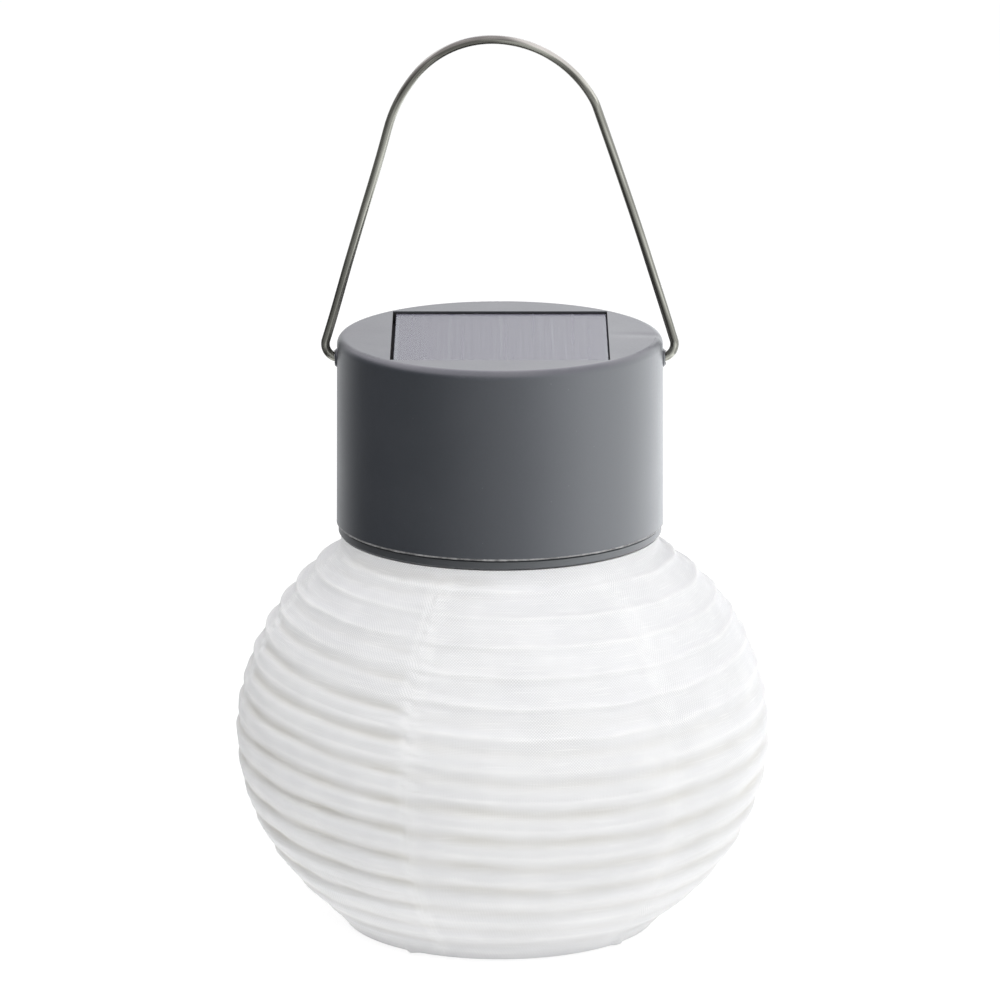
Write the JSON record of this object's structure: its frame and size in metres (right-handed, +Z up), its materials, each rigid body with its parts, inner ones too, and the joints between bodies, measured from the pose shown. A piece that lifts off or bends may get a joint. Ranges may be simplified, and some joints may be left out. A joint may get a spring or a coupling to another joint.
{
  "type": "solar lantern",
  "caption": "Round white cloth lantern on a spring coil, hung from a grey cap with a square solar panel and a bent wire bail.",
  "frame": {"origin": "centre of the box's underside, on the surface that the hem stands on", "axes": "+Z up the lantern's axis, X along the bail's pins, +Y away from the picture's viewer"},
  "size_m": [0.1516, 0.1516, 0.2562],
  "materials": {
    "cap_plastic": "satin moulded grey",
    "tray_plastic": "fine spark texture",
    "collar_plastic": "satin moulded dark grey",
    "circuit_board": "solder mask over glass laminate",
    "silicon": "polished silicon with printed fingers",
    "clear_coat": "clear casting resin",
    "tape": "foam bedding tape",
    "zinc_steel": "zinc plated",
    "cell_can": "plain sleeve",
    "nickel": "nickel plated",
    "board_parts": "black moulded parts",
    "lamp_resin": "clear lamp resin",
    "reflector": "vacuum metallised plastic",
    "red_insulation": "soft insulation",
    "black_insulation": "soft insulation",
    "bail_steel": "drawn stainless wire",
    "coil_steel": "drawn spring wire",
    "cloth": "white plain-weave nylon"
  },
  "bodies": {
    "cap": {"cap_shell": "cap_plastic", "solar_board": "circuit_board", "solar_cells": "silicon", "solar_cover": "clear_coat", "panel_gasket": "tape", "battery_tray": "tray_plastic", "tray_screws": "zinc_steel", "battery_cell": "cell_can", "contact_plates": "nickel", "contact_spring": "nickel", "circuit_board": "circuit_board", "board_parts": "board_parts", "led": "lamp_resin", "led_leads": "nickel", "led_reflector": "reflector", "switch_body": "board_parts", "leads_red": "red_insulation", "leads_black": "black_insulation"},
    "bail": {"bail_wire": "bail_steel"},
    "battery_door": {"battery_door": "tray_plastic"},
    "switch": {"switch_slider": "board_parts"},
    "shade": {"collar_ring": "collar_plastic", "top_hoop": "coil_steel", "shade_spiral": "coil_steel", "shade_fabric": "cloth"},
    "base": {"bottom_hem": "cloth", "bottom_hoop": "coil_steel"}
  },
  "joints": [
    {"name": "bail_swing", "type": "hinge", "parent": "cap", "child": "bail", "pos_m": [0, 0, 0.164], "axis": [1, 0, 0], "range_deg": [-108, 108]},
    {"name": "battery_door_hinge", "type": "hinge", "parent": "cap", "child": "battery_door", "pos_m": [0, 0.02, 0.1224], "axis": [1, 0, 0], "range_deg": [0, 95]},
    {"name": "switch_slide", "type": "slide", "parent": "cap", "child": "switch", "axis": [1, 0, 0], "range_m": [0, 0.003]},
    {"name": "shade_twist", "type": "hinge", "parent": "cap", "child": "shade", "pos_m": [0, 0, 0.117], "axis": [0, 0, 1], "range_deg": [0, 30]},
    {"name": "shade_fold", "type": "slide", "parent": "shade", "child": "base", "axis": [0, 0, 1], "range_m": [0, 0.098], "stiffness_N_per_m": 40, "springref_m": -0.08, "deforming": ["shade_fabric", "shade_spiral"]}
  ]
}
